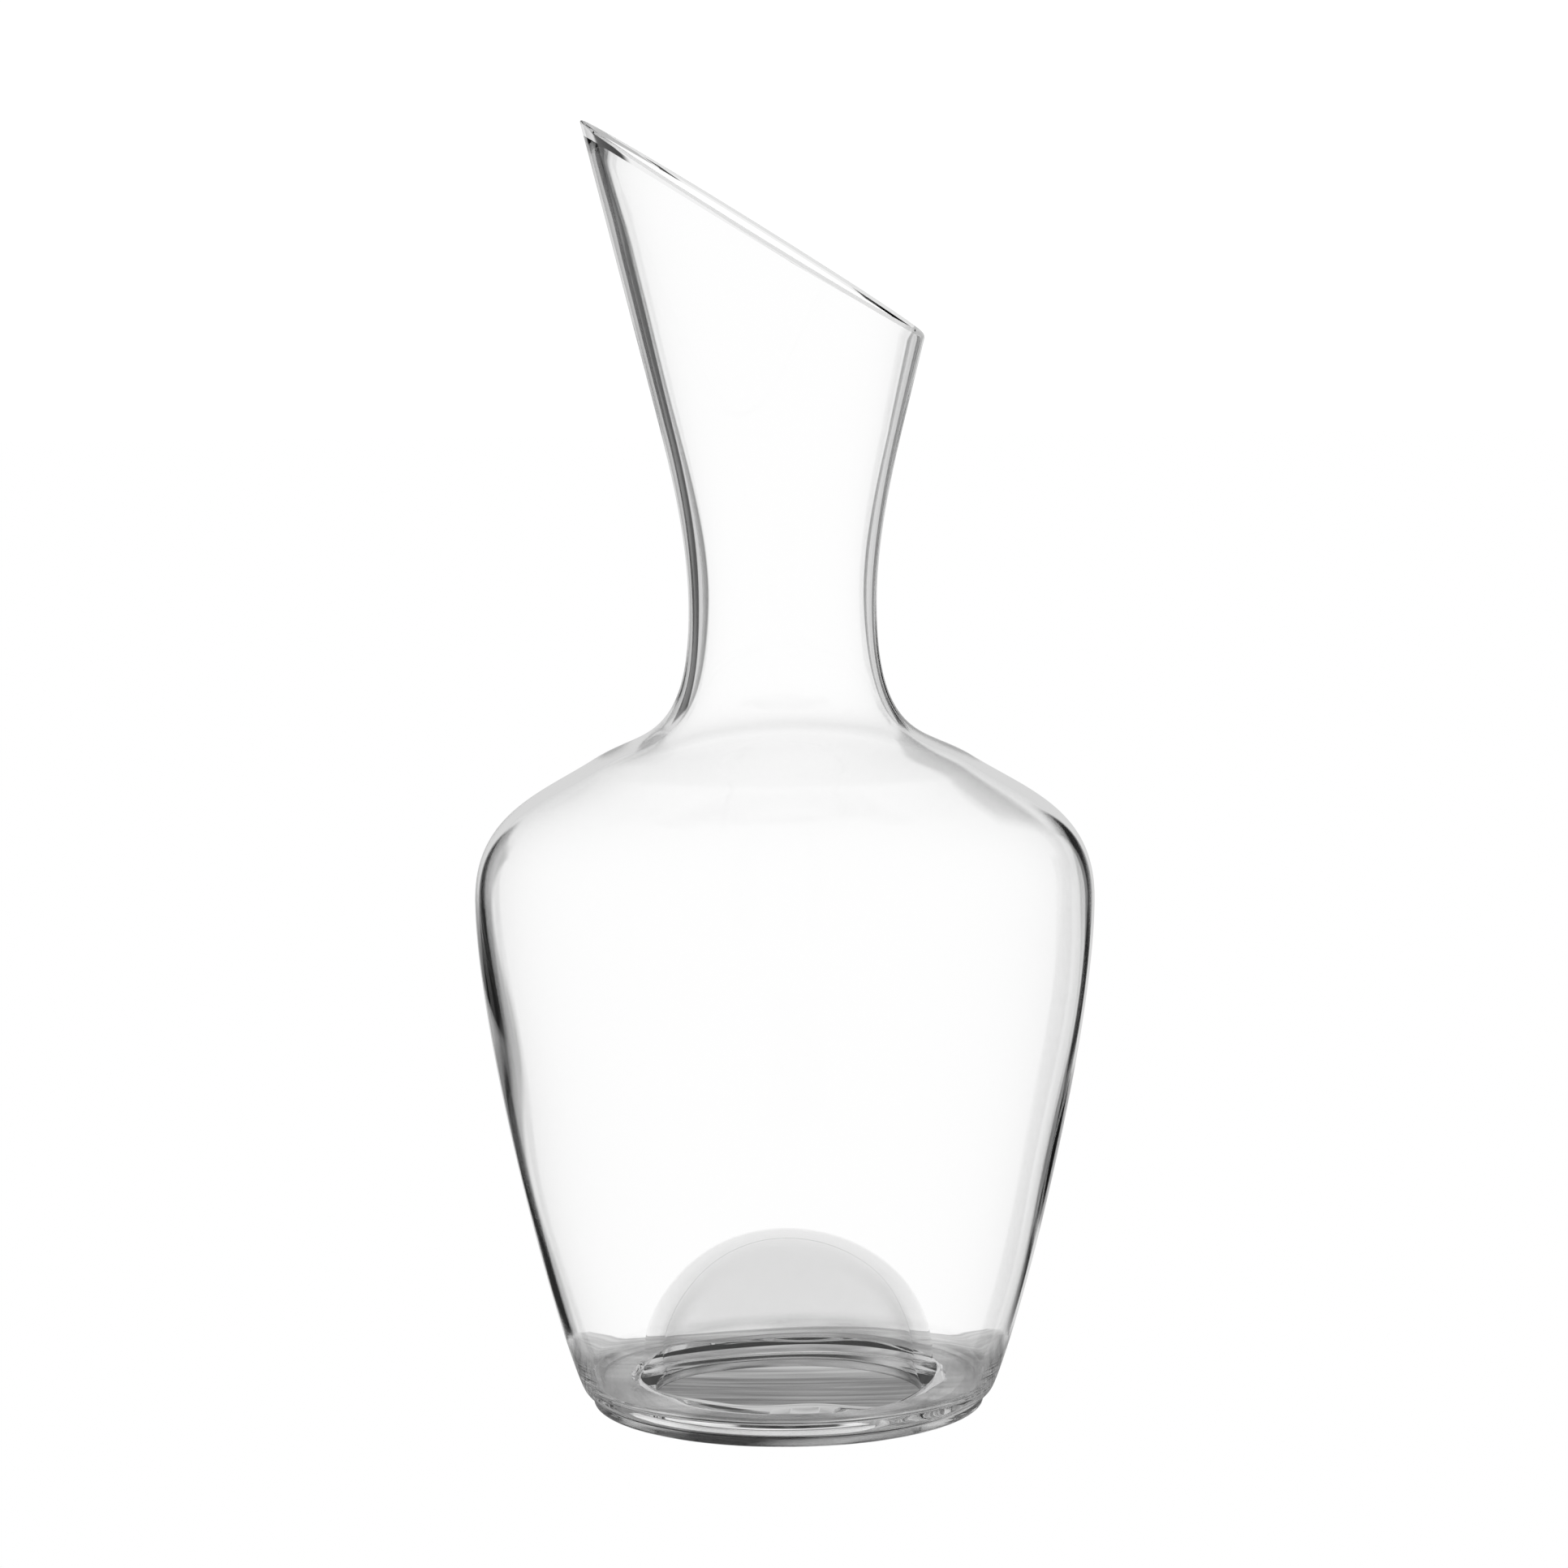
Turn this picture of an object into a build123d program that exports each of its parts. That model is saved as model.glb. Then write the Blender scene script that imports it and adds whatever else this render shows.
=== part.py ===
from build123d import *
import math
import os

# Wine decanter with an obliquely cut mouth and a hollow dome (a punt) in its base.
#
# All sizes are in millimetres.  The origin is the centre of the resting face, +Z is up,
# and the high tip of the cut mouth points along -X.
#
# The decanter is three pieces of glass, fused face to face:
#   blown_body   the bubble: flaring neck, shoulder, tapering bowl and turned-in heel
#   punt_insert  the hat-shaped insert: a hollow dome with a flat brim that floors the bowl
#   foot_ring    the flat ring under the heel and the brim, which the decanter stands on

# ---- driving dimensions: mouth and neck

tip_height = 283.0          # resting face to the high tip of the mouth
mouth_slope = 32.2          # slope of the flat cut, in degrees from level
lip_round = 0.5             # fire-polished rounding of the lip's two edges
flare_angle = 14.0          # the straight flare's lean, in degrees from upright
flare_height = 215.2        # where the straight flare begins
flare_radius = 26.2         # outer radius there
throat_height = 176.7       # the narrowest place
throat_radius = 20.5        # outer radius there
neck_wall = 2.5             # thickness of the glass in the neck

# ---- driving dimensions: shoulder and bowl

shoulder_height = 142.8     # halfway down the sloping shoulder
shoulder_radius = 42.2      # outer radius there
shoulder_slope = 57.3       # the shoulder's lean there, in degrees from upright
bowl_height = 112.8         # the widest place
bowl_radius = 67.9          # outer radius there
bowl_wall = 2.2             # thickness of the glass in the bowl
heel_height = 5.0           # where the bowl's side starts to turn in
heel_overhang = 2.8         # how far the side stands out past the foot there
heel_lean = 22.5            # the side's lean there, in degrees from upright
cove = 4.0                  # curve between the bowl's inner wall and its floor

# ---- driving dimensions: base

floor_height = 5.5          # resting face to the floor inside the bowl
foot_overhang = 3.5         # how far the foot stands out past the insert's brim
foot_height = 2.3           # thickness of the foot
foot_step = 1.6             # how far the foot stands out past the heel above it
foot_round = 0.6            # rounding of the foot's outer edges
dome_radius = 32.1          # outer radius of the dome at its springing
dome_rise = 28.6            # springing to the top of the dome
dome_spring = 9.7           # resting face to the springing
dome_side_wall = 4.4        # thickness of the glass at the dome's side
dome_top_wall = 2.2         # thickness of the glass at the dome's top
dome_fillet = 3.0           # how far the dome's foot spreads over the brim
brim_width = 4.6            # the flat part of the insert's brim
hollow_flare = 2.0          # how far the hollow opens out towards the resting face

# The base is laid out from the dome outwards, so its pieces meet at any size of dome.
brim_radius = dome_radius + dome_fillet + brim_width
foot_radius = brim_radius + foot_overhang
heel_radius = foot_radius + heel_overhang

# ---- shape of the curves

# Where each curve of the side starts and ends it keeps its lean for a share of its length.
bowl_pulls = (0.15, 0.26)           # heel up to the widest place
shoulder_pulls = (0.46, 0.38)       # widest place up to halfway down the shoulder
neck_pulls = (0.30, 0.75)           # halfway down the shoulder up to the throat
flare_pulls = (0.26, 0.43)          # throat up to the straight flare
corner_pull = 0.5                   # the short curves in the base
round_pull = 0.5523                 # makes a Bezier curve a quarter of an ellipse
underside_lean = 85.0               # the heel's underside at the foot, in degrees from upright
hollow_lean = -30.0                 # the hollow's side at the brim's underside
spare_height = 5.0                  # how far past its tip the bubble is drawn before the cut


# ---- helpers: outlines are drawn as (radius, height) and turned about the Z axis

def heading(lean):
    """Unit vector that leans outwards from straight up by this many degrees."""
    angle = math.radians(lean)
    return Vector(math.sin(angle), math.cos(angle))


def inset(point, lean, wall):
    """The point on the inner face, one wall thickness in from a point on the outer face."""
    angle = math.radians(lean)
    return point + Vector(-math.cos(angle), math.sin(angle)) * wall


def sweep_curve(start, start_lean, end, end_lean, pulls=(corner_pull, corner_pull)):
    """Smooth curve that leaves start and reaches end at the given leans.

    The two pulls say how long the curve keeps each lean, as shares of the distance.
    """
    reach = (end - start).length
    return Bezier(start,
                  start + heading(start_lean) * (pulls[0] * reach),
                  end - heading(end_lean) * (pulls[1] * reach),
                  end)


def dome_arc(radius, rise, spring):
    """Quarter ellipse from the springing up to the top of a dome."""
    return Bezier(Vector(radius, spring), Vector(radius, spring + round_pull * rise),
                  Vector(round_pull * radius, spring + rise), Vector(0, spring + rise))


def turned(*edges):
    """Solid of revolution about the Z axis, from a closed outline."""
    outline = make_face(Wire(edges))
    return revolve(Plane.XZ * outline, Axis.Z, 360)


def bubble_side(wall_neck, wall_bowl, heel, top):
    """One face of the bubble, from the heel up past the mouth.

    With walls of zero it is the outer face.  Returns its edges and its top point.
    """
    bowl = inset(Vector(bowl_radius, bowl_height), 0, wall_bowl)
    shoulder = inset(Vector(shoulder_radius, shoulder_height), -shoulder_slope,
                     (wall_neck + wall_bowl) / 2)
    throat = inset(Vector(throat_radius, throat_height), 0, wall_neck)
    flare = inset(Vector(flare_radius, flare_height), flare_angle, wall_neck)
    lip = flare + heading(flare_angle) * ((top - flare.Y) / math.cos(math.radians(flare_angle)))
    edges = [sweep_curve(heel, heel_lean, bowl, 0, bowl_pulls),
             sweep_curve(bowl, 0, shoulder, -shoulder_slope, shoulder_pulls),
             sweep_curve(shoulder, -shoulder_slope, throat, 0, neck_pulls),
             sweep_curve(throat, 0, flare, flare_angle, flare_pulls),
             Line(flare, lip)]
    return edges, lip


# ---- the three pieces

def blown_body():
    """The bubble, with its mouth cut off flat on a slope."""
    top = tip_height + spare_height
    seat = Vector(brim_radius, foot_height)           # where brim, heel and foot meet
    underside = Vector(foot_radius - foot_step, foot_height)
    heel = Vector(heel_radius, heel_height)
    inner_heel = inset(heel, heel_lean, bowl_wall)
    climb = floor_height + cove - inner_heel.Y
    wall_foot = inner_heel + heading(heel_lean) * (climb / math.cos(math.radians(heel_lean)))
    floor_edge = Vector(wall_foot.X - cove, floor_height)
    ledge = Vector(brim_radius, floor_height)

    outside, lip = bubble_side(0, 0, heel, top)
    inside, inner_lip = bubble_side(neck_wall, bowl_wall, wall_foot, top)
    body = turned(
        Line(seat, underside),
        sweep_curve(underside, underside_lean, heel, heel_lean),
        *outside,
        Line(lip, inner_lip),
        *inside,
        sweep_curve(floor_edge, 90, wall_foot, heel_lean),
        Line(floor_edge, ledge),
        Line(ledge, seat))

    tip_radius = flare_radius + (tip_height - flare_height) * math.tan(math.radians(flare_angle))
    slope = math.radians(mouth_slope)
    cut = Plane(origin=(-tip_radius, 0, tip_height), z_dir=(math.sin(slope), 0, math.cos(slope)))
    body = split(body, bisect_by=cut, keep=Keep.BOTTOM)
    lip_face = body.faces().filter_by(lambda face: face.normal_at().dot(cut.z_dir) > 0.999)
    return fillet(lip_face.edges(), lip_round)


def punt_insert():
    """The hollow dome and the flat brim round it."""
    inner_radius = dome_radius - dome_side_wall
    inner_rise = dome_rise - dome_top_wall
    bore = inner_radius + hollow_flare
    spring = Vector(dome_radius, dome_spring)
    inner_spring = Vector(inner_radius, dome_spring)
    brim_start = Vector(dome_radius + dome_fillet, floor_height)
    return turned(
        dome_arc(dome_radius, dome_rise, dome_spring),
        sweep_curve(spring, 180, brim_start, 90),
        Line(brim_start, (brim_radius, floor_height)),
        Line((brim_radius, floor_height), (brim_radius, foot_height)),
        Line((brim_radius, foot_height), (bore, foot_height)),
        sweep_curve(Vector(bore, foot_height), hollow_lean, inner_spring, 0),
        dome_arc(inner_radius, inner_rise, dome_spring),
        Line((0, dome_spring + inner_rise), (0, dome_spring + dome_rise)))


def foot_ring():
    """The flat ring that the decanter stands on, open in the middle like the punt."""
    bore = dome_radius - dome_side_wall + hollow_flare
    ring = Cylinder(foot_radius, foot_height) - Cylinder(bore, foot_height)
    ring = Pos(0, 0, foot_height / 2) * ring
    outer_edges = ring.edges().filter_by(GeomType.CIRCLE).group_by(SortBy.RADIUS)[-1]
    return fillet(outer_edges, foot_round)


os.makedirs("parts", exist_ok=True)
for name, piece in (("blown_body", blown_body()),
                    ("punt_insert", punt_insert()),
                    ("foot_ring", foot_ring())):
    piece.label = name
    export_step(piece, f"parts/{name}.step")
    print(f"{name}: {piece.volume / 1000:.1f} cm3")
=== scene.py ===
import math

import bpy
import numpy as np
from mathutils import Matrix


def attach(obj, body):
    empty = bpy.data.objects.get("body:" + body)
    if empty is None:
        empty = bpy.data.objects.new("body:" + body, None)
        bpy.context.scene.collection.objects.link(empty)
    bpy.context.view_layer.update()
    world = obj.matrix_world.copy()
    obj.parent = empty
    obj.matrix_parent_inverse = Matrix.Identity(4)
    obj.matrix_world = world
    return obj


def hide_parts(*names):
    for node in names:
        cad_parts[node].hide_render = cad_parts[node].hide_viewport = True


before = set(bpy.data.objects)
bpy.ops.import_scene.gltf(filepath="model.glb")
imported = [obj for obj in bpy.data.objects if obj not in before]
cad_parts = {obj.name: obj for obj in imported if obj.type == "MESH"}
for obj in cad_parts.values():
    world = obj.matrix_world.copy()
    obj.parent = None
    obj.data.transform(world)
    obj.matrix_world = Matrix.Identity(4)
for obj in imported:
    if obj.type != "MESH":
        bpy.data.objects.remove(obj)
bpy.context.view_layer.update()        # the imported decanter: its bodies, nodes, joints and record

mm = 0.001
columns = 240            # steps round the axis, the same for all three pieces
sharpAngle = 40          # degrees between two faces, above which the edge between them stays crisp
evenPulls = (0.5, 0.5)   # a curve that reaches as far along the lean at its start as along that at its end
phi = np.linspace(0, 2 * math.pi, columns, endpoint=False)

# What the three pieces share: where the glass of one meets the glass of the next, in mm
seat = {
    "brimRadius": 39.7,      # the insert's brim ends here, and the bubble begins
    "floorHeight": 5.5,      # floor inside the bowl
    "footHeight": 2.3,       # top of the foot
    "footRadius": 43.2,
    "heelStep": 1.6,         # the bubble's underside leaves the foot this far inside the foot's edge
    "hollowMouth": 29.7,     # radius of the opening under the dome
}


# Outlines are arrays of (radius, height) in mm. This is the unit direction that leans outwards from
# straight up: (sin of the lean, cos of the lean)
def heading(lean):
    return np.array([math.sin(math.radians(lean)), math.cos(math.radians(lean))])


# Point one wall in from an outer point, at right angles to its lean
def inset(point, lean, wall):
    return np.array(point) + wall * np.array([-math.cos(math.radians(lean)), math.sin(math.radians(lean))])


# Cubic Bezier: (1-t)^3 a + 3t(1-t)^2 b + 3t^2(1-t) c + t^3 d, with t in even steps from 0 to 1
def bezier(a, b, c, d, count):
    t = np.linspace(0, 1, count)[:, None]
    return a * (1 - t) ** 3 + 3 * b * t * (1 - t) ** 2 + 3 * c * t ** 2 * (1 - t) + d * t ** 3


# Bezier from start to end whose middle points lie along the two leans, each a share of the distance away
def leanCurve(start, startLean, end, endLean, pulls, count):
    start, end = np.array(start, float), np.array(end, float)
    reach = np.linalg.norm(end - start)
    return bezier(start, start + heading(startLean) * pulls[0] * reach,
                  end - heading(endLean) * pulls[1] * reach, end, count)


# Quarter of an ellipse from the springing up to the top: (a cos t, spring + c sin t)
def domeArc(radius, rise, spring, count):
    t = np.linspace(0, math.pi / 2, count)
    return np.stack([radius * np.cos(t), spring + rise * np.sin(t)], 1)


# Straight run in even steps: (1-t) start + t end
def straight(start, end, count):
    t = np.linspace(0, 1, count)[:, None]
    return np.array(start, float) * (1 - t) + np.array(end, float) * t


# Unevenness round the axis and up it: the sum of weight sin(turns phi + z / pitch + start)
def ripple(height, waves):
    return sum(weight * np.sin(turns * phi + height / pitch + start)
               for turns, pitch, start, weight in waves)


# Surfaces are grids: rows follow an outline and columns go round the axis. Here each row of an outline
# is repeated for every column
def spread(outline):
    return np.repeat(outline[:, :1], columns, 1), np.repeat(outline[:, 1:], columns, 1)


# Mesh of a turned surface: point (r cos phi, r sin phi, z) for each row and column. The glass lies to
# the left of the outline as it is walked. A closed outline joins its last row to its first, and an
# open one starts and ends on the axis. finish is the material slot of the band that each row starts
def turnedMesh(name, radius, height, finish, closed):
    rows = radius.shape[0]
    grid = np.stack([radius * np.cos(phi), radius * np.sin(phi), height], 2) * mm
    column = np.arange(columns)
    beside = np.roll(column, -1)
    lower = np.arange(rows) if closed else np.arange(1, rows - 2)
    upper = (lower + 1) % rows
    shift = 0 if closed else 1 - columns          # an open outline keeps one point for each pole
    quads = np.stack([lower[:, None] * columns + column, lower[:, None] * columns + beside,
                      upper[:, None] * columns + beside, upper[:, None] * columns + column], -1) + shift
    points = grid.reshape(-1, 3)
    faces = quads.reshape(-1, 4).tolist()
    bands = np.repeat(finish[lower], columns)
    if not closed:
        points = np.vstack([grid[0, :1], grid[1:-1].reshape(-1, 3), grid[-1, :1]])
        last = len(points) - 1
        faces += np.stack([np.zeros_like(column), 1 + beside, 1 + column], 1).tolist()
        faces += np.stack([np.full_like(column, last), last - columns + column,
                           last - columns + beside], 1).tolist()
        bands = np.concatenate([bands, np.full(columns, finish[0]), np.full(columns, finish[-1])])
    mesh = bpy.data.meshes.new(name)
    mesh.from_pydata(points, [], faces)
    mesh.polygons.foreach_set("material_index", bands.astype(np.int32))
    mesh.polygons.foreach_set("use_smooth", np.ones(len(mesh.polygons), bool))
    mesh.set_sharp_from_angle(angle=math.radians(sharpAngle))
    mesh.update()
    piece = bpy.data.objects.new(name, mesh)
    bpy.context.collection.objects.link(piece)
    print("made", name, len(mesh.polygons), "faces")
    return piece


# The bubble: neck, shoulder, bowl and heel. Sizes in mm, leans in degrees
bubble = {
    "tipHeight": 282.8,      # high tip of the mouth before its lip is rounded
    "cutSlope": 32.2,        # from level
    "lipRound": 1.25,        # fire-polished rounding of the lip's edges
    "flare": (26.2, 215.2), "flareLean": 14.0,
    "throat": (20.5, 176.7),
    "shoulder": (42.2, 142.8), "shoulderLean": -57.3,
    "widest": (67.9, 112.8),
    "heel": (46.0, 5.0), "heelLean": 22.5,
    "undersideLean": 85,     # the heel's turned-in edge starts out this flat
    # the four runs of the side, from the heel up: how far each reaches along its two leans, and its rows
    "pulls": ((0.15, 0.26), (0.46, 0.38), (0.30, 0.75), (0.26, 0.43)),
    "sideRows": (44, 40, 38, 22),
    "heelRows": 12, "flareRows": 16, "lipRows": 7, "coveRows": 10, "ledgeRows": 4,
    "neckWall": 2.5, "bowlWall": 2.2,
    "cove": 4.0,             # curve between the wall and the floor
    "neckDrift": 0.4,        # the bore sits this far off the axis in the neck, towards +X
    "driftFrom": 128, "driftOver": 34,
    "waver": 0.11,           # hand-blown unevenness of the inner wall
    "waves": ((2, 21, 0.6, 1.0), (3, -13, 2.0, 0.7), (5, 9, 4.1, 0.5)),
    "waverOver": 30,         # it grows over this much height from the floor
    "calmBelow": 230, "calmOver": 110, "calmLeast": 0.3,     # and dies down towards the mouth
    "lipEase": 22,           # nothing wanders off over this much height under the cut
}


# Side of the bubble: Beziers from the heel to the widest place, the shoulder, the throat and the flare
def bubbleSide(neckWall, bowlWall, heel):
    s = bubble
    leans = (s["heelLean"], 0, s["shoulderLean"], 0, s["flareLean"])
    midWall = (neckWall + bowlWall) / 2
    marks = (heel, inset(s["widest"], 0, bowlWall), inset(s["shoulder"], s["shoulderLean"], midWall),
             inset(s["throat"], 0, neckWall), inset(s["flare"], s["flareLean"], neckWall))
    runs = [leanCurve(marks[i], leans[i], marks[i + 1], leans[i + 1], s["pulls"][i], s["sideRows"][i])
            for i in range(len(s["pulls"]))]
    return np.vstack([runs[0]] + [run[1:] for run in runs[1:]])


# Height at which the straight flare r = r0 + (z - z0) tan(lean) meets the sloping cut, column by column
def cutHeight(r0, z0):
    s = bubble
    lean = math.tan(math.radians(s["flareLean"]))
    fall = math.tan(math.radians(s["cutSlope"]))
    tipRadius = s["flare"][0] + (s["tipHeight"] - s["flare"][1]) * lean
    onAxis = s["tipHeight"] - fall * tipRadius
    slope = fall * np.cos(phi)
    return (onAxis - slope * (r0 - z0 * lean)) / (1 + slope * lean)


# The straight flare from (r0, z0) up to the cut, less a little for the rounded lip
def flareRows(r0, z0):
    s = bubble
    lean = math.radians(s["flareLean"])
    top = cutHeight(r0, z0) - s["lipRound"] * math.cos(lean)
    height = z0 + (top - z0) * np.linspace(0, 1, s["flareRows"])[1:, None]
    return r0 + (height - z0) * math.tan(lean), height


# Corner where the straight flare from (r0, z0) meets the cut, column by column
def lipCorner(r0, z0):
    top = cutHeight(r0, z0)
    return np.stack([r0 + (top - z0) * math.tan(math.radians(bubble["flareLean"])), top])


# Quadratic Bezier round a corner, column by column: (1-t)^2 a + 2t(1-t) b + t^2 c
def roundCorner(a, b, c, count):
    t = np.linspace(0, 1, count)[1:, None]
    return [a[i] * (1 - t) ** 2 + 2 * b[i] * t * (1 - t) + c[i] * t ** 2 for i in (0, 1)]


# The bore: the inner wall moved by drift cos(phi) in the neck and by the ripple everywhere, with both
# fading out towards the floor and the cut
def unevenBore(radius, height, floorZ, mouth):
    s = bubble
    grow = np.clip((height - floorZ) / s["waverOver"], 0, 1)
    calm = np.clip((s["calmBelow"] - height) / s["calmOver"], s["calmLeast"], 1)
    ease = np.clip((mouth - height) / s["lipEase"], 0, 1)
    neck = np.clip((height - s["driftFrom"]) / s["driftOver"], 0, 1)
    neck = neck * neck * (3 - 2 * neck)
    drift = s["neckDrift"] * neck * np.cos(phi)
    return radius + (drift + s["waver"] * ripple(height, s["waves"]) * grow * calm) * ease


# One closed outline, walked up the outside, over the lip, down the bore and out along the floor
def makeBubble():
    s = bubble
    outer = bubbleSide(0, 0, s["heel"])
    innerHeel = inset(s["heel"], s["heelLean"], s["bowlWall"])
    climb = (seat["floorHeight"] + s["cove"] - innerHeel[1]) / math.cos(math.radians(s["heelLean"]))
    wallFoot = innerHeel + heading(s["heelLean"]) * climb
    inner = bubbleSide(s["neckWall"], s["bowlWall"], wallFoot)
    outerFlare, innerFlare = flareRows(*outer[-1]), flareRows(*inner[-1])

    underside = (seat["footRadius"] - seat["heelStep"], seat["footHeight"])
    heelRows = leanCurve(underside, s["undersideLean"], s["heel"], s["heelLean"],
                         evenPulls, s["heelRows"])[:-1]

    outerLip, innerLip = lipCorner(*outer[-1]), lipCorner(*inner[-1])
    across = innerLip - outerLip
    across /= np.linalg.norm(across, axis=0)
    outerTop = np.stack([part[-1] for part in outerFlare])
    innerTop = np.stack([part[-1] for part in innerFlare])
    lipOut = roundCorner(outerTop, outerLip, outerLip + across * s["lipRound"], s["lipRows"])
    lipIn = roundCorner(innerLip - across * s["lipRound"], innerLip, innerTop, s["lipRows"])

    innerR, innerZ = (np.vstack(pair) for pair in zip(spread(inner), innerFlare))
    innerR = unevenBore(innerR, innerZ, wallFoot[1], cutHeight(*inner[-1]))

    floorEdge = (wallFoot[0] - s["cove"], seat["floorHeight"])
    coveRows = leanCurve(floorEdge, 90, wallFoot, s["heelLean"], evenPulls, s["coveRows"])[:-1][::-1]
    ledgeRows = straight(floorEdge, (seat["brimRadius"], seat["floorHeight"]), s["ledgeRows"])[1:]
    seatRow = np.array([[seat["brimRadius"], seat["footHeight"]]])

    parts = [spread(heelRows), spread(outer), outerFlare, lipOut, lipIn,
             (innerR[::-1][1:], innerZ[::-1][1:]), spread(coveRows), spread(ledgeRows), spread(seatRow)]
    radius, height = (np.vstack(grids) for grids in zip(*parts))
    finish = np.zeros(len(radius), int)
    lipStart = sum(len(part[0]) for part in parts[:3])
    # the lip rows take the lip glass, whose grey tint is painted shade
    finish[lipStart:lipStart + len(lipOut[0]) + len(lipIn[0]) - 1] = 2
    finish[-2:] = 1                      # the edge that meets the brim, and the strip that sits on the foot
    return turnedMesh("blownBubble", radius, height, finish, True)


# The insert: hollow dome and flat brim. Sizes in mm
insert = {
    "domeRadius": 32.1, "domeRise": 28.6, "domeSpring": 9.7,
    "sideWall": 4.4, "topWall": 2.2,
    "fillet": 3.0,           # how far the dome's foot spreads over the brim
    "mouthLean": -30,        # lean of the hollow where it opens on the foot, in degrees
    "thinFrom": 6.0,         # above this height the dome is blown thin and hardly bends the light
    "footWave": 0.9,         # how far that height rises and falls round the dome
    "footWaves": ((3, 1, 0.9, 1.0), (5, 1, 2.2, 0.6), (8, 1, 0, 0.3)),
    "footSpread": 2.6,       # height over which the rise and fall dies away
    "waver": 0.16,           # unevenness of the hollow, which was pushed up by hand
    "waves": ((2, 6, 1.0, 1.0), (5, 4, 0, 0.6), (9, -5, 0, 0.4)),
    "calmBelow": 36, "calmOver": 8,      # the unevenness dies down towards the top
    "waverOver": 6,          # and grows over this much height from the foot
    "domeRows": 72, "hollowRows": 64, "curveRows": 12, "underRows": 5, "edgeRows": 3, "brimRows": 6,
}


# One open outline from the top of the hollow down, out under the brim, back over it and up the dome
def makeInsert():
    s = insert
    brimStart = (s["domeRadius"] + s["fillet"], seat["floorHeight"])
    hollow = domeArc(s["domeRadius"] - s["sideWall"], s["domeRise"] - s["topWall"],
                     s["domeSpring"], s["hollowRows"])[::-1]
    mouth = leanCurve((seat["hollowMouth"], seat["footHeight"]), s["mouthLean"], hollow[-1], 0,
                      evenPulls, s["curveRows"])[::-1][1:]
    under = straight(mouth[-1], (seat["brimRadius"], seat["footHeight"]), s["underRows"])[1:]
    edge = straight(under[-1], (seat["brimRadius"], seat["floorHeight"]), s["edgeRows"])[1:]
    brim = straight(edge[-1], brimStart, s["brimRows"])[1:]
    dome = domeArc(s["domeRadius"], s["domeRise"], s["domeSpring"], s["domeRows"])
    fillet = leanCurve(dome[0], 180, brimStart, 90, evenPulls, s["curveRows"])[::-1][1:]
    outline = np.vstack([hollow, mouth, under, edge, brim, fillet, dome[1:]])
    radius, height = spread(outline)

    calm = np.clip((s["calmBelow"] - height) / s["calmOver"], 0, 1)
    grow = np.clip((height - seat["footHeight"]) / s["waverOver"], 0, 1)
    inHollow = np.arange(len(outline)) < len(hollow)
    uneven = np.where(inHollow[:, None], s["waver"] * ripple(height, s["waves"]) * calm * grow, 0)
    radius = radius + uneven
    radius[0] = 0
    radius[-1] = 0

    onJoint = (outline[:, 1] <= seat["floorHeight"]) & (outline[:, 0] > seat["hollowMouth"] - 0.5)
    near = np.where(onJoint[:, None], 0, np.exp(-((height - s["thinFrom"]) / s["footSpread"]) ** 2))
    near = near * np.clip((height - seat["footHeight"]) / 2, 0, 1)
    height = height + s["footWave"] * ripple(0, s["footWaves"]) * near

    inside = len(hollow) + len(mouth)
    # above thinFrom the dome takes the dome glass, whose grey tint is painted shade
    finish = np.where(outline[:, 1] > s["thinFrom"], 2, 0)
    finish[:inside] = 3
    finish[inside - 1:inside - 1 + len(under) + len(edge)] = 1
    return turnedMesh("puntInsert", radius, height, finish, False)


# The foot: flat ring under the heel and the brim
foot = {
    "edgeRound": 0.6,        # mm
    "edgeRows": 7, "faceRows": 12, "seatRows": 6,
}


# Rounded outline walked from the hollow's mouth outwards along the resting face, up and back. Its outer
# edges are quarter circles: (R - e (1 - sin t), e (1 - cos t)), and the same turned over
def makeFoot():
    s = foot
    turn = np.linspace(0, math.pi / 2, s["edgeRows"])
    rising, falling = s["edgeRound"] * (1 - np.cos(turn)), s["edgeRound"] * (1 - np.sin(turn))
    low = np.stack([seat["footRadius"] - falling, rising], 1)
    high = np.stack([seat["footRadius"] - rising, seat["footHeight"] - falling], 1)
    step = (seat["footRadius"] - seat["heelStep"], seat["footHeight"])
    brim = (seat["brimRadius"], seat["footHeight"])
    mouth = (seat["hollowMouth"], seat["footHeight"])
    face = straight((seat["hollowMouth"], 0), low[0], s["faceRows"])
    top = np.vstack([straight(high[-1], step, 3)[1:], straight(step, brim, 3)[1:],
                     straight(brim, mouth, s["seatRows"])[1:]])
    outline = np.vstack([face, low[1:], high, top])
    finish = np.zeros(len(outline), int)
    finish[len(outline) - len(top) + 1:-1] = 1
    return turnedMesh("footRing", *spread(outline), finish, True)


# Opaque grey of one tone
def grey(tone):
    return (tone, tone, tone, 1)


# What every hand-worked glass shares: the noise of its cords and of its scratches. Only the part of the
# scratch noise above scratchLow is worn, fully so from scratchHigh
grain = {
    "cordDetail": 1.5, "cordRoughness": 0.35,
    "scratchScale": 900, "scratchDetail": 4, "scratchLow": 0.45, "scratchHigh": 0.62,
}


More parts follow.
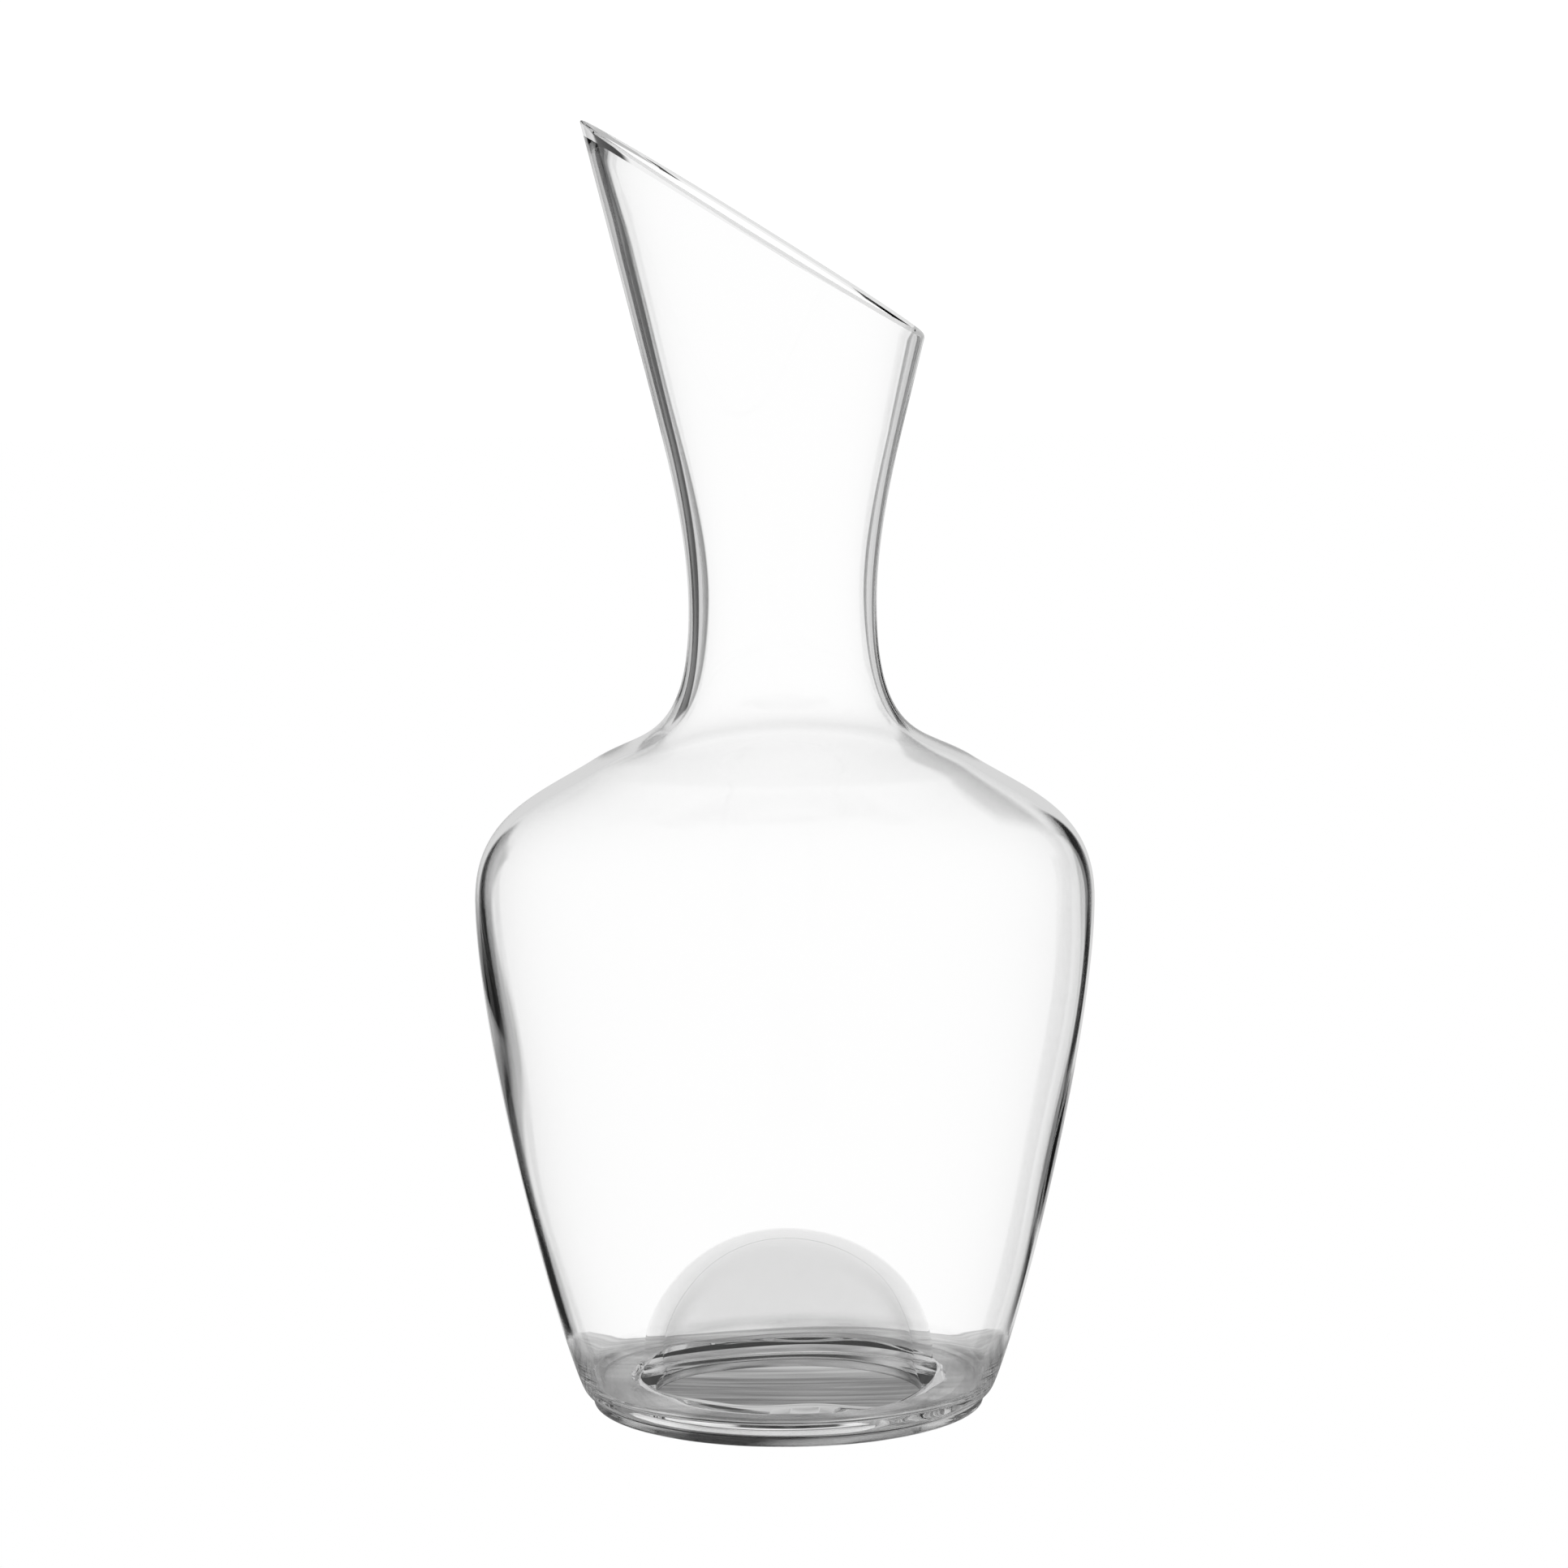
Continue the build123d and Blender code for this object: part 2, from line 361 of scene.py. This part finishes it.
# Node group for hand-worked glass: faint clouds and drawn-out cords from noise stretched along the
# height, and fine wear where the piece is handled or stands
def buildHandWorked():
    group = bpy.data.node_groups.new("handWorkedGlass", "ShaderNodeTree")
    socket = group.interface.new_socket
    for name, value in (("Cord Scale", 60.0), ("Stretch", 1.0),
                        ("Wear Low", -0.02), ("Wear High", -0.01), ("Wear Roughness", 0.0)):
        socket(name, in_out="INPUT", socket_type="NodeSocketFloat").default_value = value
    for name in ("Height", "Roughness"):
        socket(name, in_out="OUTPUT", socket_type="NodeSocketFloat")
    nodes, link = group.nodes, group.links.new
    source, sink = nodes.new("NodeGroupInput"), nodes.new("NodeGroupOutput")
    where = nodes.new("ShaderNodeTexCoord")
    split = nodes.new("ShaderNodeSeparateXYZ")
    link(where.outputs["Object"], split.inputs[0])
    squeeze = nodes.new("ShaderNodeMath")
    squeeze.operation = "MULTIPLY"
    link(split.outputs["Z"], squeeze.inputs[0])
    link(source.outputs["Stretch"], squeeze.inputs[1])
    join = nodes.new("ShaderNodeCombineXYZ")
    link(split.outputs["X"], join.inputs["X"])
    link(split.outputs["Y"], join.inputs["Y"])
    link(squeeze.outputs[0], join.inputs["Z"])
    cords = nodes.new("ShaderNodeTexNoise")
    cords.inputs["Detail"].default_value = grain["cordDetail"]
    cords.inputs["Roughness"].default_value = grain["cordRoughness"]
    link(join.outputs[0], cords.inputs["Vector"])
    link(source.outputs["Cord Scale"], cords.inputs["Scale"])
    link(cords.outputs["Fac"], sink.inputs["Height"])
    band = nodes.new("ShaderNodeMapRange")                    # 1 at Wear Low, 0 at Wear High
    band.interpolation_type = "SMOOTHSTEP"
    link(split.outputs["Z"], band.inputs["Value"])
    link(source.outputs["Wear Low"], band.inputs["From Min"])
    link(source.outputs["Wear High"], band.inputs["From Max"])
    band.inputs["To Min"].default_value = 1.0
    band.inputs["To Max"].default_value = 0.0
    scratch = nodes.new("ShaderNodeTexNoise")
    scratch.inputs["Scale"].default_value = grain["scratchScale"]
    scratch.inputs["Detail"].default_value = grain["scratchDetail"]
    link(where.outputs["Object"], scratch.inputs["Vector"])
    pick = nodes.new("ShaderNodeMapRange")
    pick.inputs["From Min"].default_value = grain["scratchLow"]
    pick.inputs["From Max"].default_value = grain["scratchHigh"]
    link(scratch.outputs["Fac"], pick.inputs["Value"])
    worn = nodes.new("ShaderNodeMath")
    worn.operation = "MULTIPLY"
    link(band.outputs["Result"], worn.inputs[0])
    link(pick.outputs["Result"], worn.inputs[1])
    rough = nodes.new("ShaderNodeMath")
    rough.operation = "MULTIPLY"
    link(worn.outputs[0], rough.inputs[0])
    link(source.outputs["Wear Roughness"], rough.inputs[1])
    link(rough.outputs[0], sink.inputs["Roughness"])
    return group


# Mix of two colours that goes from the first to the second between two heights, in metres. The colour
# sockets of a Mix node are found by number. A colour is a fixed one or another node's socket
def heightMix(nodes, link, where, low, high, first, second):
    split = nodes.new("ShaderNodeSeparateXYZ")
    link(where.outputs["Object"], split.inputs[0])
    fade = nodes.new("ShaderNodeMapRange")
    fade.interpolation_type = "SMOOTHSTEP"
    fade.inputs["From Min"].default_value = low
    fade.inputs["From Max"].default_value = high
    link(split.outputs["Z"], fade.inputs["Value"])
    blend = nodes.new("ShaderNodeMix")
    blend.data_type = "RGBA"
    link(fade.outputs["Result"], blend.inputs["Factor"])
    for number, colour in ((6, first), (7, second)):
        if isinstance(colour, tuple):
            blend.inputs[number].default_value = colour
        else:
            link(colour, blend.inputs[number])
    return blend.outputs[2]


# Painted shade: long dark streaks in the tint, from noise stretched along one axis: the tint goes from
# shadeTint to tint between the two values in shade, and the streaks fade out between the two heights in
# shadeFade
def paintedShadeStreaks(nodes, link, where, look):
    stretch = nodes.new("ShaderNodeMapping")
    stretch.inputs["Scale"].default_value = look["shadeScale"]
    link(where.outputs["Object"], stretch.inputs["Vector"])
    noise = nodes.new("ShaderNodeTexNoise")
    noise.inputs["Scale"].default_value = 1.0
    noise.inputs["Detail"].default_value = 2
    link(stretch.outputs["Vector"], noise.inputs["Vector"])
    ramp = nodes.new("ShaderNodeValToRGB")
    tones = (look["shadeTint"], look["tint"])
    for element, place, tone in zip(ramp.color_ramp.elements, look["shade"], tones):
        element.position = place
        element.color = grey(tone)
    link(noise.outputs["Fac"], ramp.inputs["Fac"])
    return heightMix(nodes, link, where, *look["shadeFade"], ramp.outputs["Color"], grey(look["tint"]))


# Painted shade in the tint, by how far the surface turns away, in place of the grey a thin wall shows from
# its
# reflections: each list gives (turn, tint), the first up to edgeLow and the second from edgeHigh upwards
def paintedEdgeShade(nodes, link, where, look):
    turn = nodes.new("ShaderNodeLayerWeight")
    tints = []
    for key in ("edgeFoot", "edgeTop"):
        ramp = nodes.new("ShaderNodeValToRGB")
        ramp.color_ramp.interpolation = "EASE"
        while len(ramp.color_ramp.elements) < len(look[key]):
            ramp.color_ramp.elements.new(0.5)
        for element, (place, tone) in zip(ramp.color_ramp.elements, look[key]):
            element.position = place
            element.color = grey(tone)
        link(turn.outputs["Facing"], ramp.inputs["Fac"])
        tints.append(ramp.outputs["Color"])
    return heightMix(nodes, link, where, look["edgeLow"], look["edgeHigh"], *tints)


# Clear glass with its tint, cords and wear. Where a look has shade or edge values, the tint is painted shade
def clearGlass(name, group, look):
    material = bpy.data.materials.new(name)
    material.use_nodes = True
    nodes, link = material.node_tree.nodes, material.node_tree.links.new
    shader = nodes["Principled BSDF"]
    shader.inputs["IOR"].default_value = look["ior"]
    shader.inputs["Transmission Weight"].default_value = 1.0
    if "shade" in look or "edgeFoot" in look:
        tint = paintedShadeStreaks if "shade" in look else paintedEdgeShade
        link(tint(nodes, link, nodes.new("ShaderNodeTexCoord"), look), shader.inputs["Base Color"])
    else:
        shader.inputs["Base Color"].default_value = grey(look["tint"])
    worked = nodes.new("ShaderNodeGroup")
    worked.node_tree = group
    for key, value in look.get("worked", {}).items():
        worked.inputs[key].default_value = value
    bump = nodes.new("ShaderNodeBump")
    bump.inputs["Strength"].default_value = look["cordStrength"]
    bump.inputs["Distance"].default_value = mm
    link(worked.outputs["Height"], bump.inputs["Height"])
    link(bump.outputs["Normal"], shader.inputs["Normal"])
    link(worked.outputs["Roughness"], shader.inputs["Roughness"])
    return material


# Where two pieces are fused there is no surface to see: fully clear, so light passes straight on
def fusedFace():
    material = bpy.data.materials.new("fusedJoint")
    material.use_nodes = True
    material.node_tree.nodes["Principled BSDF"].inputs["Alpha"].default_value = 0.0
    return material


looks = {
    # the bubble's dark streaks low on the heel are painted shade
    "bubble": {"tint": 1.0, "ior": 1.5, "cordStrength": 0.02,
               "shade": (0.36, 0.62), "shadeTint": 0.35, "shadeScale": (24, 40, 260),
               "shadeFade": (0.0045, 0.0095),
               "worked": {"Cord Scale": 38.0, "Stretch": 0.35}},
    # the lip's grey tint is painted shade, on glass that hardly bends the light
    "lip": {"tint": 0.74, "ior": 1.02, "cordStrength": 0.02},
    "insert": {"tint": 0.97, "ior": 1.5, "cordStrength": 0.03},
    # the dome's grey tint, darker where it turns away, is painted shade, on glass that hardly bends the
    # light
    "dome": {"ior": 1.002, "cordStrength": 0.02,
             "edgeFoot": ((0.0, 0.75), (0.30, 0.75), (0.46, 0.58), (0.60, 0.81), (1.0, 0.97)),
             "edgeTop": ((0.0, 0.70), (0.45, 0.72), (0.80, 0.82), (1.0, 0.98)),
             "edgeLow": 0.014, "edgeHigh": 0.028},
    "hollow": {"tint": 0.99, "ior": 1.002, "cordStrength": 0.02},
    # the foot's dark tint and its near-black streaks are painted shade
    "foot": {"tint": 0.66, "ior": 1.5, "cordStrength": 0.05,
             "shade": (0.43, 0.60), "shadeTint": 0.05, "shadeScale": (26, 40, 300),
             "shadeFade": (0.003, 0.004),
             "worked": {"Cord Scale": 90.0, "Stretch": 4.0, "Wear Low": 0.0, "Wear High": 0.0006,
                        "Wear Roughness": 0.05}},
}

handWorked = buildHandWorked()
fused = fusedFace()
# each piece, its glass, the node it stands for, and the glasses of its material slots from 2 up
for piece, key, node, more in ((makeBubble(), "bubble", "blown_body", ("lip",)),
                               (makeInsert(), "insert", "punt_insert", ("dome", "hollow")),
                               (makeFoot(), "foot", "foot_ring", ())):
    piece.data.materials.append(clearGlass(key + "Glass", handWorked, looks[key]))
    piece.data.materials.append(fused)
    for extra in more:
        piece.data.materials.append(clearGlass(extra + "Glass", handWorked, looks[extra]))
    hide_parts(node)
    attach(piece, "root")
print("glass done")


# Studio: a white room with a few dark flags in it, a white ground, and a grey disc of painted shadow under
# the glass
studio = {
    "room": 1.05, "mirrored": 0.68, "dark": 0.02,    # mirrored is the room as reflections see it
    # flags on the far side of the room: azimuth of the middle from +Y towards +X, half width, softness,
    # lower edge, upper edge and their softness, in degrees
    "flags": ((23, 5.0, 1.2, -20, 13, 3), (-31, 10.0, 1.5, -16, 13, 2), (-22, 9.0, 2.0, -27, -11, 3),
              (8, 22, 6, 20, 33, 1.5)),
    "groundReach": 3.0, "groundHeight": -0.0001,     # metres
    # round disc of painted shadow with a straight edge at the back, mm
    "paintedShadowRadius": 74, "paintedShadowBack": 53, "paintedShadowSoft": 1.0,
    # its tone of painted shadow, darkest across the middle and lighter by the lift from liftFrom to liftTo
    # away, in mm; its streaks are painted shade too
    "paintedShadowTone": 0.28, "paintedShadowLift": 0.32, "paintedShadowMiddle": 4, "liftFrom": 8, "liftTo": 32, "paintedShadowLeast": 0.05,
    "paintedShadowStreak": 0.40, "streakScale": (20, 330, 1),
}


# Small builder for one maths node: each value is a number or another node's socket
def mathNode(tree, operation, first, second=None):
    node = tree.nodes.new("ShaderNodeMath")
    node.operation = operation
    for slot, value in enumerate((first, second)):
        if isinstance(value, (int, float)):
            node.inputs[slot].default_value = value
        elif value is not None:
            tree.links.new(value, node.inputs[slot])
    return node.outputs[0]


# Smooth step of a value from 0 at low to top at high
def smoothStep(tree, value, low, high, top=1.0):
    node = tree.nodes.new("ShaderNodeMapRange")
    node.interpolation_type = "SMOOTHSTEP"
    tree.links.new(value, node.inputs["Value"])
    node.inputs["From Min"].default_value = low
    node.inputs["From Max"].default_value = high
    node.inputs["To Max"].default_value = top
    return node.outputs["Result"]


# 0 inside a flag and 1 outside it, in azimuth and in elevation
def openPart(tree, azimuth, elevation, flag):
    middle, half, soft, low, high, softHeight = (math.radians(angle) for angle in flag)
    aside = mathNode(tree, "ABSOLUTE", mathNode(tree, "SUBTRACT", azimuth, middle))
    across = smoothStep(tree, aside, half - soft, half + soft)
    below = smoothStep(tree, mathNode(tree, "MULTIPLY", elevation, -1), -low - softHeight, -low + softHeight)
    above = smoothStep(tree, elevation, high - softHeight, high + softHeight)
    return mathNode(tree, "MAXIMUM", across, mathNode(tree, "MAXIMUM", below, above))


# World: the glass sees a white room with dark flags in it. What the camera sees directly is white
def buildWorld():
    s = studio
    world = bpy.data.worlds.new("studioRoom")
    world.use_nodes = True
    bpy.context.scene.world = world
    tree = world.node_tree
    tree.nodes.clear()
    out = tree.nodes.new("ShaderNodeOutputWorld")
    light = tree.nodes.new("ShaderNodeBackground")
    light.inputs["Color"].default_value = grey(1)
    tree.links.new(light.outputs[0], out.inputs[0])
    where = tree.nodes.new("ShaderNodeTexCoord")
    split = tree.nodes.new("ShaderNodeSeparateXYZ")
    tree.links.new(where.outputs["Generated"], split.inputs[0])
    azimuth = mathNode(tree, "ARCTAN2", split.outputs["X"], split.outputs["Y"])
    elevation = mathNode(tree, "ARCSINE", split.outputs["Z"])
    path = tree.nodes.new("ShaderNodeLightPath")
    mirrored = mathNode(tree, "MINIMUM", path.outputs["Glossy Depth"], 1.0)
    dimmed = mathNode(tree, "MULTIPLY", mirrored, s["room"] - s["mirrored"])
    total = mathNode(tree, "SUBTRACT", s["room"], dimmed)
    for flag in s["flags"]:
        total = mathNode(tree, "MULTIPLY", total, openPart(tree, azimuth, elevation, flag))
    total = mathNode(tree, "MAXIMUM", total, s["dark"])
    tree.links.new(mathNode(tree, "MAXIMUM", total, path.outputs["Is Camera Ray"]), light.inputs["Strength"])


# Tone of the painted shadow: its base tone, lifted away from its middle, plus painted dark streaks from
# noise stretched across it
def paintedShadowTone(tree, where, split):
    s = studio
    squeeze = tree.nodes.new("ShaderNodeMapping")
    squeeze.inputs["Scale"].default_value = s["streakScale"]
    tree.links.new(where.outputs["Object"], squeeze.inputs["Vector"])
    streak = tree.nodes.new("ShaderNodeTexNoise")
    streak.inputs["Scale"].default_value = 1.0
    streak.inputs["Detail"].default_value = 3
    tree.links.new(squeeze.outputs["Vector"], streak.inputs["Vector"])
    offset = mathNode(tree, "SUBTRACT", split.outputs["Y"], s["paintedShadowMiddle"] * mm)
    away = mathNode(tree, "ABSOLUTE", offset)
    lift = smoothStep(tree, away, s["liftFrom"] * mm, s["liftTo"] * mm, s["paintedShadowLift"])
    centred = mathNode(tree, "SUBTRACT", streak.outputs["Fac"], 0.5)
    wave = mathNode(tree, "MULTIPLY", centred, 2 * s["paintedShadowStreak"])
    tone = mathNode(tree, "ADD", mathNode(tree, "ADD", lift, s["paintedShadowTone"]), wave)
    return mathNode(tree, "MAXIMUM", tone, s["paintedShadowLeast"])


# Mix of two shaders by a factor from another node
def mixedShader(tree, factor, first, second):
    node = tree.nodes.new("ShaderNodeMixShader")
    for slot, value in enumerate((factor, first, second)):
        tree.links.new(value, node.inputs[slot])
    return node.outputs[0]


# Ground: white to the camera. The glass sees a grey disc of painted shadow with drawn-out streaks in it, and
# beyond the disc's edges it sees the room
def buildGround():
    s = studio
    reach = s["groundReach"]
    mesh = bpy.data.meshes.new("ground")
    mesh.from_pydata([(-reach, -reach, 0), (reach, -reach, 0), (reach, reach, 0), (-reach, reach, 0)],
                     [], [(0, 1, 2, 3)])
    ground = bpy.data.objects.new("ground", mesh)
    ground.location.z = s["groundHeight"]
    bpy.context.collection.objects.link(ground)
    material = bpy.data.materials.new("groundWithPaintedShadow")
    material.use_nodes = True
    tree = material.node_tree
    tree.nodes.clear()
    where = tree.nodes.new("ShaderNodeTexCoord")
    split = tree.nodes.new("ShaderNodeSeparateXYZ")
    tree.links.new(where.outputs["Object"], split.inputs[0])
    length = tree.nodes.new("ShaderNodeVectorMath")          # the ground is flat, so this is the radius
    length.operation = "LENGTH"
    tree.links.new(where.outputs["Object"], length.inputs[0])
    limits = ((length.outputs["Value"], s["paintedShadowRadius"]), (split.outputs["Y"], s["paintedShadowBack"]))
    edges = [smoothStep(tree, place, (limit - s["paintedShadowSoft"]) * mm, (limit + s["paintedShadowSoft"]) * mm)
             for place, limit in limits]
    outside = mathNode(tree, "MAXIMUM", *edges)
    # the disc of painted shadow: an emission that only the glass sees
    paintedShadow = tree.nodes.new("ShaderNodeEmission")
    tree.links.new(paintedShadowTone(tree, where, split), paintedShadow.inputs["Strength"])
    clear = tree.nodes.new("ShaderNodeBsdfTransparent")
    white = tree.nodes.new("ShaderNodeEmission")
    path = tree.nodes.new("ShaderNodeLightPath")
    under = mixedShader(tree, outside, paintedShadow.outputs[0], clear.outputs[0])
    whole = mixedShader(tree, path.outputs["Is Camera Ray"], under, white.outputs[0])
    out = tree.nodes.new("ShaderNodeOutputMaterial")
    tree.links.new(whole, out.inputs[0])
    mesh.materials.append(material)


buildWorld()
buildGround()
print("studio done")


# Camera: metres, degrees, and the lens and sensor in mm
view = {"distance": 1.183, "height": 0.299, "pitch": 7.76, "roll": -0.44, "sensor": 36, "lens": 125.2173913,
        "farthest": 50}


def placeCamera():
    data = bpy.data.cameras.new("camera")
    data.sensor_width = view["sensor"]
    data.lens = view["lens"]
    data.clip_end = view["farthest"]
    camera = bpy.data.objects.new("camera", data)
    pitch = Matrix.Rotation(math.radians(90 - view["pitch"]), 4, "X")
    roll = Matrix.Rotation(math.radians(view["roll"]), 4, "Z")
    camera.matrix_world = Matrix.Translation((0, -view["distance"], view["height"])) @ pitch @ roll
    bpy.context.collection.objects.link(camera)
    bpy.context.scene.camera = camera


# Light bounces: a ray through both walls, the dome and the base meets many faces
bounces = {"most": 24, "glossy": 12}

placeCamera()
scene = bpy.context.scene
scene.view_settings.view_transform = "Standard"
scene.cycles.max_bounces = bounces["most"]
scene.cycles.transmission_bounces = bounces["most"]
scene.cycles.transparent_max_bounces = bounces["most"]
scene.cycles.glossy_bounces = bounces["glossy"]
scene.cycles.caustics_reflective = True
scene.cycles.caustics_refractive = True
print("camera done")
